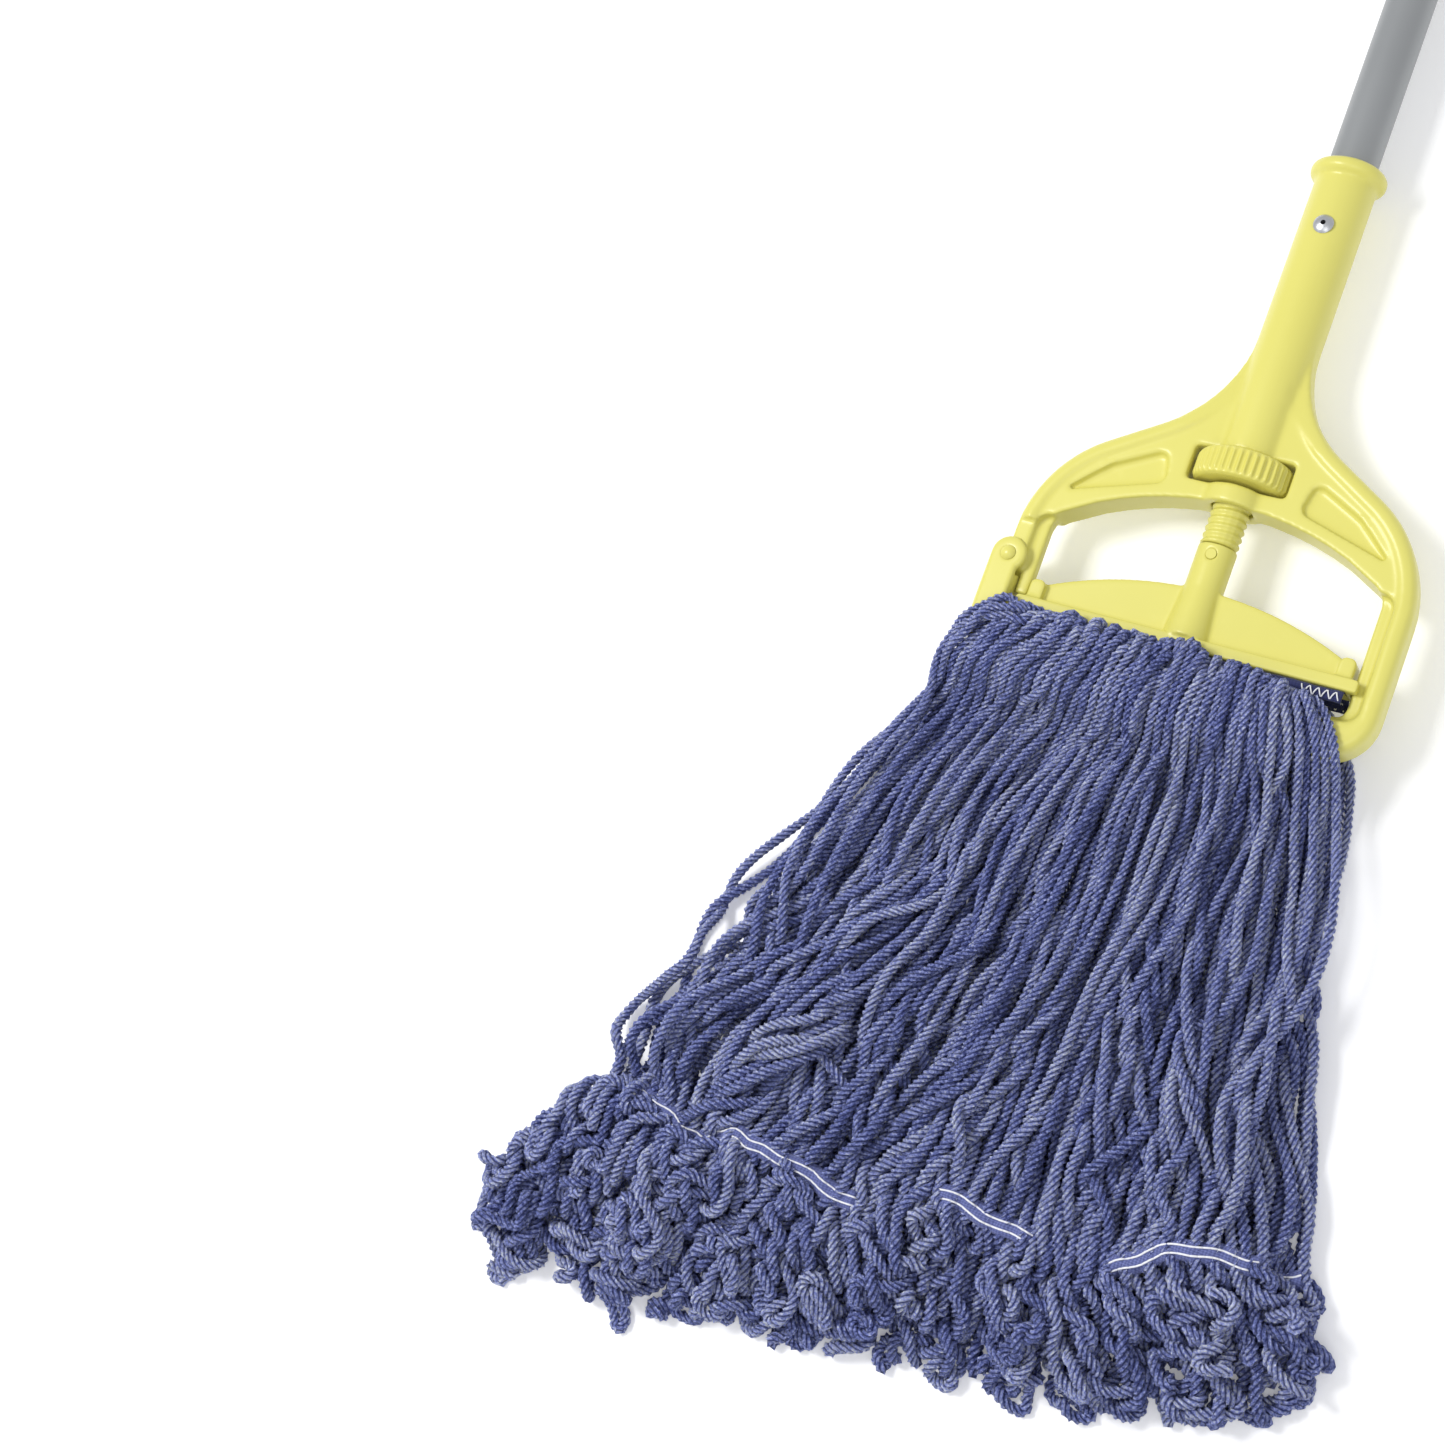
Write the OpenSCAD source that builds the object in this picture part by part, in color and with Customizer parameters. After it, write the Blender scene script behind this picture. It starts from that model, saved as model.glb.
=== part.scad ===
// String mop lying on the floor: a side-gate plastic clamp on a tubular handle,
// holding a looped-end yarn head. Millimetres, +Z up, floor at Z = 0.
// Origin: on the floor, under the middle of the line where the clamp bar grips.
// The holder's parts are drawn flat, with Y up the handle and Z out of the front
// face, and place() then lays them down so that the end cap rests on the floor.

/* [Handle] */
// Outside diameter of the handle tube
tube_d = 25.4; // [23:0.1:27]
// Wall of the handle tube
tube_wall = 1.5; // [1:0.1:2.5]
// Length of the holder from the foot of the yoke to the end of the handle
overall_length = 1524; // [1200:1:1700]
// Diameter of the end cap's rim
cap_d = 30; // [28:0.5:34]
// Diameter of the hanging hole in the end cap
hang_hole_d = 9; // [6:0.5:12]

/* [Yoke] */
// Width across the arms of the yoke
yoke_w = 208; // [190:1:230]
// Depth of the yoke from front to back
yoke_depth = 23; // [20:0.5:27]
// Width of the thick outer bead
bead_w = 10; // [8:0.5:12]
// Width of the guide rail inside each arm
rail_w = 7; // [6:0.5:9]
// Thickness of the guide rail
rail_t = 8; // [6:0.5:9]
// Height of the bottom bar that the yarn is folded over
bar_h = 22; // [18:0.5:26]
// Thickness of the band and yarn held in the jaw
jaw_gap = 12; // [9:0.5:18]
// Outside radius of the yoke's lower corner
corner_r = 25; // [18:1:30]
// Thickness of the bridge under the thumb wheel
bridge_t = 10; // [8:0.5:14]

/* [Socket] */
// Outside diameter of the socket at its foot
socket_d = 33.4; // [32:0.1:37]
// How much narrower the socket is at its top
socket_taper = 1.2; // [0:0.1:1.5]
// Length of the socket above the wheel window
socket_l = 164; // [120:1:200]
// Length of tube held inside the socket
tube_grip = 100; // [70:1:115]
// Height of the collar round the socket's mouth
collar_h = 7.5; // [7:0.5:14]
// How far the collar stands out from the socket
collar_out = 3.9; // [1.5:0.1:5]
// Distance of the rivets below the socket's top
rivet_drop = 38; // [25:1:60]
// Diameter of the rivet shank
rivet_d = 4.8; // [3.2:0.1:6.4]

/* [Clamp] */
// Height of the clamp bar at its middle
clamp_h = 33.5; // [30:0.5:42]
// Height of the stem that carries the screw, above the clamp bar
stem_h = 23.5; // [20:0.5:30]
// Travel of the clamp bar from gripping to fully open
travel = 18; // [10:1:25]
// Outside diameter of the screw
screw_d = 20.4; // [17:0.2:23]
// Pitch of the screw
pitch = 4; // [3.5:0.5:6]
// Depth of the screw thread
thread_h = 1.4; // [1:0.1:2]
// Diameter of the thumb wheel
wheel_d = 50.6; // [44:0.2:56]
// Thickness of the thumb wheel
wheel_t = 15.6; // [12:0.2:18]
// Number of ribs round the thumb wheel
ribs = 40; // [24:1:48]

/* [Gate] */
// Radius of the rounded boss at the gate's hinge
gate_boss_r = 10.5; // [9:0.5:12]
// Diameter of the hinge pin
hinge_d = 6; // [5:0.5:8]

/* [Mop head] */
// Length of the headband
band_l = 166; // [140:1:168]
// Distance from the bottom bar to the tail bands
tail_drop = 250; // [200:5:300]
// Length of the loops beyond the tail bands
fringe_l = 88; // [60:2:110]
// Width of each tail band
tail_band_w = 12; // [8:1:15]
// Thickness of the yarn's back half where it lies on the floor
back_t = 20; // [18:0.5:23]
// Thickness of the yarn's front half on top of it
front_t = 34; // [24:1:40]

/* [Hidden] */

$fn = 64;
plastic = "#e8e070";
cut = 1;             // how far a cutting shape runs past the face it opens
run_gap = 0.3;       // clearance between pieces that move past each other
seat_gap = 0.05;     // clearance of a pin in its seat

// Levels up the handle, from the line where the clamp bar grips
half_w = yoke_w / 2;
foot_y = -jaw_gap - bar_h;
stem_y = clamp_h + stem_h;
bridge_y = stem_y + travel + 2.5;
window_y = bridge_y + bridge_t;
window_gap = 1.4;
wheel_y = window_y + window_gap;
window_top = wheel_y + wheel_t + window_gap;
socket_top = window_top + socket_l;
tube_foot = socket_top - tube_grip;
rivet_y = socket_top - rivet_drop;
handle_end = foot_y + overall_length;

// Levels across the yoke's depth
half_depth = yoke_depth / 2;
core_half = half_depth - 1.8;      // face of the shoulders, a step below the bead
lug_t = 16;                        // lug that sits between the gate's ears
tongue_t = 10;                     // tongue that the gate's foot closes over

// Outline of the yoke
socket_r = socket_d / 2;
socket_top_r = socket_r - socket_taper / 2;
neck_r = 67;                       // hollow curve from the socket into the shoulder
neck_sink = 1.2;                   // the curve ends inside the socket's wall
shoulder_r = 68;                   // round curve of the shoulder
slope = 58;                        // angle at which the two curves meet a straight run
shoulder_x = half_w - shoulder_r;
shoulder_y = bridge_y - 37;
bead_corner_r = 8;
rail_half = half_w - bead_w;
opening_half = rail_half - rail_w;
opening_r = 0.75 * yoke_w;         // underside of the bridge, flatter on a wider yoke
arc_steps = 14;

// Gate and its hinge
hinge_x = -half_w + 2.5;
hinge_y = 26;
arm_foot_y = hinge_y + gate_boss_r + 10.5;
gate_out = hinge_x - gate_boss_r;
gate_in = -half_w + bead_w - 0.5;
gate_toe = -opening_half + 3;      // inner end of the gate's foot
lug_r = gate_boss_r - 2.5;
latch_tip = gate_toe - 14;

// Laid down on the floor
axis_z = back_t + half_depth + 0.5;
tilt = asin((axis_z - cap_d / 2) / handle_end);
module place() translate([0, 0, axis_z]) rotate([-tilt, 0, 0]) children();

// ---- outlines ----

function arc(c, r, a0, a1, n) = [for (i = [0:n]) let (a = a0 + (a1 - a0) * i / n)
    [c[0] + r * cos(a), c[1] + r * sin(a)]];
function mirrored(pts) = [for (i = [len(pts) - 1:-1:0]) [-pts[i][0], pts[i][1]]];

// Rounds each corner [x, y, r] of a closed outline by its own radius.
function unit(v) = v / norm(v);
function corner(p0, p1, p2) = let (r = p1[2], b = [p1[0], p1[1]],
    v1 = unit([p0[0], p0[1]] - b), v2 = unit([p2[0], p2[1]] - b), half = acos(v1 * v2) / 2,
    c = b + unit(v1 + v2) * r / sin(half), s = b + v1 * r / tan(half) - c,
    e = b + v2 * r / tan(half) - c, a0 = atan2(s[1], s[0]),
    turn = (atan2(e[1], e[0]) - a0 + 540) % 360 - 180)
    arc(c, r, a0, a0 + turn, 6);
function rounded(pts) = [for (i = [0:len(pts) - 1]) let (n = len(pts), p = pts[i])
    each (p[2] > 0 ? corner(pts[(i + n - 1) % n], p, pts[(i + 1) % n]) : [[p[0], p[1]]])];

// Harp-shaped outline of the yoke, d inside its outer edge, with a given foot.
neck_x = socket_r - neck_sink + neck_r;
run_w = shoulder_x + (shoulder_r + neck_r) * cos(slope) - neck_x;
neck = [neck_x, shoulder_y + (shoulder_r + neck_r) * sin(slope) + run_w / tan(slope)];
function harp(d, foot, r) = let (side = concat(
    arc(neck, neck_r + d, 180, 180 + slope, arc_steps),
    arc([shoulder_x, shoulder_y], shoulder_r - d, slope, 0, arc_steps),
    arc([half_w - d - r, foot + r], r, 0, -90, 8)))
    concat(side, mirrored(side));

function opening_arc(x) = bridge_y + 1 - opening_r + sqrt(opening_r * opening_r - x * x);
function opening() = rounded(concat(
    [[-opening_half, -jaw_gap, 5], [-opening_half, opening_arc(opening_half), 9]],
    [for (i = [-6:6]) let (x = i * opening_half / 8) [x, opening_arc(x), 0]],
    [[opening_half, opening_arc(opening_half), 9], [opening_half, -jaw_gap, 5]]));

// ---- yoke ----

// Thick bead round the outside, in layers that round its edges. Each step is
// [how far the layer is inset, half of its depth].
bead_round = 5;
round_steps = [for (a = [0:22.5:90]) [bead_round * (1 - cos(a)),
                                      half_depth - bead_round * (1 - sin(a))]];
module bead_ring() {
    for (step = round_steps) linear_extrude(2 * step[1], center = true) difference() {
        polygon(harp(step[0], foot_y + step[0], corner_r - step[0]));
        polygon(harp(bead_w - 0.6 * step[0], -jaw_gap - 2 - 0.6 * step[0], bead_corner_r));
    }
}

module rails_and_shoulders() {
    linear_extrude(rail_t, center = true) difference() {
        polygon(harp(bead_w - 1, -jaw_gap - 3, bead_corner_r));
        polygon(opening());
    }
    linear_extrude(2 * core_half, center = true) difference() {
        polygon(harp(bead_w - 1, -jaw_gap - 3, bead_corner_r));
        polygon(opening());
        polygon(rounded([for (c = [[-1, -1], [-1, 1], [1, 1], [1, -1]])
            [c[0] * rail_half, c[1] > 0 ? opening_arc(opening_half) : foot_y - cut, 7]]));
    }
}

// Shallow three-cornered pocket in each face of each shoulder.
pocket_depth = 4;
pocket = [[shoulder_x + 50, bridge_y - 11, 1], [shoulder_x + 30, bridge_y + 8, 30],
          [shoulder_x + 3, bridge_y + 22, 4], [shoulder_x - 1, bridge_y + 4.7, 5]];
module pockets() {
    for (side = [0, 1], face = [0, 1]) mirror([side, 0, 0]) mirror([0, 0, face])
        translate([0, 0, core_half - pocket_depth]) linear_extrude(pocket_depth + half_depth)
            polygon(rounded(pocket));
}

// Cone-shaped socket with a rounded collar at its mouth.
module socket_wall() {
    rotate([-90, 0, 0]) {
        translate([0, 0, bridge_y]) cylinder(h = socket_top - bridge_y, r1 = socket_r,
                                             r2 = socket_top_r);
        translate([0, 0, socket_top - collar_h]) rotate_extrude()
            polygon(concat([[0, 0]], arc([socket_top_r + collar_out - 3.2, 3.2], 3.2, -90, 0, 6),
                           arc([socket_top_r + collar_out - 3.2, collar_h - 3.2], 3.2, 0, 90, 6),
                           [[0, collar_h]]));
    }
}

// The body thins towards the neck, where it runs out into the socket.
neck_half = 5.5;
module side_taper() {
    taper_y = shoulder_y + shoulder_r - 4;
    edge = [[foot_y - cut, half_depth + cut], [taper_y, half_depth + cut],
            [neck[1] + cut, neck_half]];
    translate([-2 * half_w, 0, 0]) rotate([90, 0, 90]) linear_extrude(4 * half_w)
        polygon(concat(edge, [for (i = [2:-1:0]) [edge[i][0], -edge[i][1]]]));
}

module socket_bores() {
    rotate([-90, 0, 0]) {
        translate([0, 0, tube_foot]) cylinder(h = tube_grip + cut, d = tube_d + 2 * seat_gap);
        translate([0, 0, bridge_y - cut]) cylinder(h = socket_top - bridge_y,
                                                   d = screw_d + 4 * run_gap);
    }
    translate([0, rivet_y, 0]) cylinder(h = 2 * socket_d, d = rivet_d, center = true);
}

// The left side is cut back to a lug for the gate's hinge, and the bottom bar
// ends in a flat tongue that the gate's foot closes over.
module gate_side() {
    difference() {
        translate([-2 * half_w, foot_y - cut, -half_depth - cut])
            cube([2 * half_w - opening_half - rail_w, arm_foot_y - foot_y + cut,
                  yoke_depth + 2 * cut]);
        linear_extrude(lug_t, center = true) {
            translate([hinge_x, hinge_y]) circle(lug_r);
            translate([hinge_x - lug_r, hinge_y]) square([2 * lug_r, arm_foot_y - hinge_y + cut]);
        }
    }
    translate([-half_w, foot_y - cut, -half_depth - cut])
        cube([half_w + gate_toe + run_gap, -foot_y + 8 + cut, yoke_depth + 2 * cut]);
}

module latch_tongue() {
    linear_extrude(tongue_t, center = true)
        polygon(rounded([[latch_tip, foot_y + 4, 4], [latch_tip, -jaw_gap - 4, 4],
                         [gate_toe + 8, -jaw_gap - 4, 0], [gate_toe + 8, foot_y + 4, 0]]));
}

window_half = wheel_d / 2 + 0.9;
module yoke() {
    color(plastic) place() difference() {
        union() {
            difference() {
                intersection() {
                    union() {
                        bead_ring();
                        rails_and_shoulders();
                    }
                    side_taper();
                }
                gate_side();
                pockets();
            }
            socket_wall();
            latch_tongue();
        }
        socket_bores();
        translate([-window_half, window_y, -socket_d])
            cube([2 * window_half, window_top - window_y, 2 * socket_d]);
        translate([hinge_x, hinge_y, 0])
            cylinder(h = 2 * yoke_depth, d = hinge_d + 2 * seat_gap, center = true);
    }
}

// ---- gate ----

module gate_outline(d) {
    translate([hinge_x, hinge_y]) circle(gate_boss_r - d);
    polygon(concat([[gate_in - d / 2, hinge_y], [gate_out + d, hinge_y]],
                   arc([gate_out + corner_r, foot_y + corner_r], corner_r - d, 180, 270, 8),
                   [[gate_toe, foot_y + d], [gate_toe, -jaw_gap - 2 - d / 2]],
                   [[gate_in - d / 2, -jaw_gap - 2 - d / 2]]));
}

module gate() {
    color(plastic) place() difference() {
        for (step = round_steps) linear_extrude(2 * step[1], center = true)
            gate_outline(0.6 * step[0]);
        linear_extrude(lug_t + 2 * run_gap, center = true) {
            translate([hinge_x, hinge_y]) circle(gate_boss_r + 1);
            translate([hinge_x - 2 * gate_boss_r, hinge_y - gate_boss_r - 1])
                square([2 * gate_boss_r, 2 * gate_boss_r + 2]);
        }
        linear_extrude(tongue_t + 2 * run_gap, center = true)
            translate([latch_tip - 4, foot_y - 4]) square([half_w, bar_h + 3.5]);
        translate([hinge_x, hinge_y, 0])
            cylinder(h = 2 * yoke_depth, d = hinge_d + 2 * seat_gap, center = true);
    }
}

module gate_hinge_pin() {
    head_h = 2;
    color(plastic) place() translate([hinge_x, hinge_y, 0]) {
        cylinder(h = yoke_depth + 2 * run_gap, d = hinge_d, center = true);
        translate([0, 0, half_depth + run_gap]) {
            intersection() {
                cylinder(h = head_h, d = hinge_d + 2);
                translate([0, 0, head_h - 5]) sphere(5);
            }
        }
        translate([0, 0, -half_depth - run_gap - 1.2]) cylinder(h = 1.2, d = hinge_d + 1.2);
    }
}

// ---- screw and thumb wheel ----

// Round-form thread: a circle whose centre turns about the axis once a pitch.
ring_sides = 16;
rings_a_turn = 8;
function ring(y, r, e) = [for (i = [0:ring_sides - 1]) let (a = 360 * i / ring_sides,
    s = r + e * cos(a - 360 * y / pitch)) [s * cos(a), s * sin(a), y]];
module thread_rod(y0, y1, r) {
    e = thread_h / 2;
    n = ceil((y1 - y0) / pitch * rings_a_turn);
    m = ring_sides;
    points = [for (k = [0:n]) each ring(y0 + (y1 - y0) * k / n, r - e, e)];
    sides = [for (k = [0:n - 1], i = [0:m - 1]) let (a = k * m + i, b = k * m + (i + 1) % m)
        each [[a, a + m, b + m], [a, b + m, b]]];
    ends = [[for (i = [0:m - 1]) i], [for (i = [m - 1:-1:0]) n * m + i]];
    polyhedron(points, concat(sides, ends), convexity = 12);
}

shank_d = 11;
shank_l = 15;
screw_top = wheel_y + wheel_t + 7;
module clamp_screw() {
    color(plastic) place() rotate([-90, 0, 0]) difference() {
        union() {
            thread_rod(stem_y + 0.5, screw_top, screw_d / 2);
            translate([0, 0, stem_y - shank_l]) cylinder(h = shank_l + 2, d = shank_d);
        }
        translate([0, 0, stem_y - 6]) rotate([90, 0, 0])
            cylinder(h = 2 * shank_d, d = cross_pin_d, center = true);
    }
}

cross_pin_d = 5.5;
module screw_cross_pin() {
    color(plastic) place() translate([0, stem_y - 6, 0])
        cylinder(h = screw_d - 0.4, d = cross_pin_d - 2 * seat_gap, center = true);
}

groove_r = 1.5;
module thumb_wheel() {
    r = wheel_d / 2;
    color(plastic) place() rotate([-90, 0, 0]) difference() {
        translate([0, 0, wheel_y]) rotate_extrude()
            polygon([[0, 0], [r - 3, 0], [r - 1.2, 0.9], [r, 3], [r, wheel_t - 3],
                     [r - 1.2, wheel_t - 0.9], [r - 3, wheel_t], [0, wheel_t]]);
        for (i = [0:ribs - 1]) rotate([0, 0, 360 * i / ribs])
            translate([r + groove_r / 10, 0, wheel_y - cut])
                cylinder(h = wheel_t + 2 * cut, r = groove_r, $fn = 20);
        thread_rod(wheel_y - pitch / 2, wheel_y + wheel_t + pitch / 2, screw_d / 2 + run_gap);
    }
}

// ---- clamp bar ----

flange_h = 6.5;
flange_half = opening_half + 3;
post_top = 17;
post_in = opening_half - 9.5;
post_out = opening_half - 1.5;
bar_end = opening_half - 9;
crown_drop = clamp_h - post_top + 0.5;
crown_r = (crown_drop * crown_drop + bar_end * bar_end) / (2 * crown_drop);
module clamp_bar() {
    crown = [for (i = [-8:8]) let (x = i * bar_end / 8)
        [x, clamp_h - crown_r + sqrt(crown_r * crown_r - x * x)]];
    stem_d = screw_d - 0.4;
    flare_d = min(stem_d + 5, yoke_depth + 2);   // stays under the yarn's fold
    color(plastic) place() difference() {
        union() {
            linear_extrude(rail_t, center = true)
                polygon(concat(crown, [[bar_end, 0], [-bar_end, 0]]));
            linear_extrude(yoke_depth - 2, center = true)
                polygon(rounded([[-flange_half, 0, 1], [-flange_half, flange_h, 2],
                                 [flange_half, flange_h, 2], [flange_half, 0, 1]]));
            for (side = [0, 1]) mirror([side, 0, 0]) linear_extrude(yoke_depth - 6, center = true)
                polygon(rounded([[post_in, 0, 0], [post_in, post_top, 3], [post_out, post_top, 3],
                                 [post_out, 0, 0]]));
            rotate([-90, 0, 0]) {
                translate([0, 0, flange_h]) cylinder(h = stem_y - flange_h, d = stem_d);
                translate([0, 0, flange_h]) cylinder(h = clamp_h - flange_h, d1 = flare_d,
                                                     d2 = stem_d);
            }
        }
        for (side = [0, 1]) mirror([side, 0, 0])
            translate([opening_half - 1, -cut, -rail_t / 2 - run_gap])
                cube([flange_half, flange_h + 2 * cut, rail_t + 2 * run_gap]);
        rotate([-90, 0, 0]) translate([0, 0, stem_y - shank_l]) cylinder(h = shank_l + cut,
                                                                         d = shank_d);
        translate([0, stem_y - 6, 0]) cylinder(h = 2 * screw_d, d = cross_pin_d, center = true);
    }
}

// ---- handle ----

module handle_tube() {
    color("#8d9092") place() rotate([-90, 0, 0]) difference() {
        translate([0, 0, tube_foot]) cylinder(h = handle_end - cap_l - tube_foot, d = tube_d);
        translate([0, 0, tube_foot - cut]) cylinder(h = handle_end, d = tube_d - 2 * tube_wall);
        translate([0, 0, rivet_y]) rotate([90, 0, 0])
            cylinder(h = 2 * tube_d, d = rivet_d, center = true);
    }
}

cap_l = 34;          // length of the cap beyond the tube
cap_plug_l = 30;     // length of the plug inside the tube
module handle_end_cap() {
    r = cap_d / 2;
    color("#3b3d3f") place() difference() {
        rotate([-90, 0, 0]) {
            translate([0, 0, handle_end - cap_l - cap_plug_l])
                cylinder(h = cap_plug_l + 1, d = tube_d - 2 * tube_wall - 2 * seat_gap);
            translate([0, 0, handle_end - cap_l]) rotate_extrude()
                polygon(concat([[0, 0], [r - 1.5, 0], [r, 1.5]],
                               arc([r - 11, cap_l - 11], 11, 0, 90, 10), [[0, cap_l]]));
        }
        translate([0, handle_end - cap_l / 2, 0])
            cylinder(h = 2 * cap_d, d = hang_hole_d, center = true);
    }
}

// Blind rivets, front and back, through the socket wall and the tube wall.
rivet_head_d = 10.4;
rivet_head_h = 2;
mandrel_d = 2.6;
module socket_rivets() {
    seat = socket_top_r - 0.2;
    inner = tube_d / 2 - tube_wall;
    color("silver") place() translate([0, rivet_y, 0]) for (face = [0, 1]) mirror([0, 0, face])
        difference() {
            union() {
                translate([0, 0, inner - 3])
                    cylinder(h = seat - inner + 4, d = rivet_d - 2 * seat_gap);
                translate([0, 0, seat + 0.4]) intersection() {
                    cylinder(h = rivet_head_h, d = rivet_head_d);
                    translate([0, 0, rivet_head_h - 8]) sphere(8);
                }
            }
            translate([0, 0, inner - 3 - cut]) cylinder(h = socket_d, d = mandrel_d);
        }
}

module rivet_mandrels() {
    inner = tube_d / 2 - tube_wall;
    color("dimgray") place() translate([0, rivet_y, 0]) for (face = [0, 1]) mirror([0, 0, face]) {
        translate([0, 0, inner - 5]) cylinder(h = 2, d = rivet_d);
        translate([0, 0, inner - 3]) cylinder(h = 5, d = mandrel_d - 2 * seat_gap);
    }
}

// ---- mop head ----

// The yarn hangs over the bottom bar in two halves. The back half lies on the
// floor, and the front half folds over the bar and lies on the back half.
bar_top_z = axis_z + half_depth + 1;
head_half = band_l / 2;
yarn_color = "#5f6fb0";
tape_color = "#2f3a78";

// Headband: a tape folded over the middle of the yarn, in the jaw.
tape_t = 2;
tape_drop = 6;
tape_depth = yoke_depth - 3;
module headband() {
    color(tape_color) place() translate([-head_half, -tape_drop - 0.2, -tape_depth / 2])
        difference() {
            cube([band_l, tape_drop, tape_depth]);
            translate([-cut, -cut, tape_t])
                cube([band_l + 2 * cut, tape_drop - tape_t + cut, tape_depth - 2 * tape_t]);
        }
}

thread_t = 0.5;
thread_w = 0.9;
module headband_stitches() {
    color("white") place() for (x = [-head_half + 5, head_half - 9, head_half - 5], side = [0, 1])
        mirror([0, 0, side]) translate([x, -tape_drop, tape_depth / 2])
            cube([thread_w, tape_drop - 0.6, thread_t]);
}

// Yarn inside the headband, pinched between the clamp bar and the bottom bar.
module yarn_core() {
    core_depth = tape_depth - 2 * tape_t - 0.4;
    color(yarn_color) place() translate([-head_half, -jaw_gap + 0.4, -core_depth / 2])
        cube([band_l, jaw_gap - tape_t - 0.8, core_depth]);
}

// The fan on the floor. It leans to the left and is longest there, so the tail
// line that the bands are sewn along slopes; its ends lie past the headband's.
fan_left = 140;
fan_right = 66;
tail_slope = 18;
tail_y = foot_y - tail_drop;
tail_left = [-head_half - fan_left, tail_y - tail_slope];
tail_right = [head_half + fan_right, tail_y + tail_slope];
tail_dir = unit(tail_right - tail_left);
down_tail = [tail_dir[1], -tail_dir[0]];
front_inset = 12;                  // the front half is this much narrower each side

function flat_corner(p) = [p[0], p[1], 0];
function fan_plan(inset, top_y) = rounded([
    [-head_half - 10 + inset / 2, top_y, 8], [head_half + 4, top_y, 8],
    [head_half + 0.6 * fan_right - inset, tail_y * 0.5, 90],
    flat_corner(tail_right - tail_dir * inset), flat_corner(tail_left + tail_dir * inset),
    [-head_half - 0.5 * fan_left + inset, tail_y * 0.5, 90]]);
function band_plan(inset) = let (a = tail_left + tail_dir * inset, b = tail_right - tail_dir * inset,
    near = down_tail * 0.3, far = down_tail * (tail_band_w + 0.3))
    [a + near, b + near, b + far, a + far];
function fringe_plan(inset) = let (a = tail_left + tail_dir * inset,
    b = tail_right - tail_dir * inset, near = down_tail * (tail_band_w + 0.6),
    far = down_tail * fringe_l)
    rounded([flat_corner(a + near), flat_corner(b + near),
             flat_corner(b + near + far * 0.2 + tail_dir * 14) + [0, 0, 8],
             flat_corner(b + far * 0.78 - tail_dir * 10) + [0, 0, 20],
             flat_corner((a + b) / 2 + far * 1.02) + [0, 0, 60],
             flat_corner(a + far * 1.25 - tail_dir * 50) + [0, 0, 16],
             flat_corner(a + far * 0.6 - tail_dir * 64) + [0, 0, 12]]);

// Side view of the front half: over the bar, then down onto the back half.
lie_z = back_t + 0.3;
fold_y = foot_y - 4;
fold_top = bar_top_z + 13;
front_side = rounded([[10, bar_top_z, 0], [10, fold_top, 9], [-70, fold_top, 40],
                      [tail_y * 0.6, back_t + 0.8 * front_t, 60],
                      [2 * tail_y, back_t + 0.8 * front_t, 0], [2 * tail_y, lie_z, 0],
                      [fold_y - 12, lie_z, 0], [fold_y, bar_top_z, 0]]);
module yarn_front() {
    color(yarn_color) intersection() {
        linear_extrude(2 * fold_top) polygon(fan_plan(front_inset, 8));
        translate([-yoke_w - fan_left, 0, 0]) rotate([90, 0, 90])
            linear_extrude(2 * (yoke_w + fan_left)) polygon(front_side);
    }
}

module yarn_back() {
    color(yarn_color) linear_extrude(back_t) polygon(fan_plan(0, 4));
}

module tail_band_front() {
    color(tape_color) translate([0, 0, lie_z]) linear_extrude(0.8 * front_t)
        polygon(band_plan(front_inset));
}

module tail_band_back() {
    color(tape_color) linear_extrude(back_t - 1) polygon(band_plan(0));
}

// Two rows of stitching along the upper face of a tail band.
module band_stitches(inset, z) {
    row_l = norm(tail_right - tail_left) - 2 * inset - 8;
    for (row = [0.22, 0.78])
        translate(concat(tail_left + tail_dir * (inset + 4) + down_tail * tail_band_w * row, z))
            rotate(atan2(tail_dir[1], tail_dir[0])) cube([row_l, thread_w, thread_t]);
}

module tail_stitches_front() {
    color("white") band_stitches(front_inset, lie_z + 0.8 * front_t);
}

module tail_stitches_back() {
    color("white") band_stitches(0, back_t - 1);
}

module fringe_front() {
    color(yarn_color) translate([0, 0, lie_z]) linear_extrude(front_t)
        polygon(fringe_plan(front_inset));
}

module fringe_back() {
    color(yarn_color) linear_extrude(back_t) polygon(fringe_plan(0));
}

yoke();
gate();
gate_hinge_pin();
thumb_wheel();
clamp_screw();
clamp_bar();
screw_cross_pin();
socket_rivets();
rivet_mandrels();
handle_tube();
handle_end_cap();
headband();
headband_stitches();
yarn_core();
yarn_front();
yarn_back();
fringe_front();
fringe_back();
tail_band_front();
tail_band_back();
tail_stitches_front();
tail_stitches_back();
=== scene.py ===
"""String mop lying on the floor: a looped yarn head in a side-gate clamp on a tubular handle."""
import math

import bmesh
import bpy
import numpy as np
from mathutils import Matrix, Vector


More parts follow.
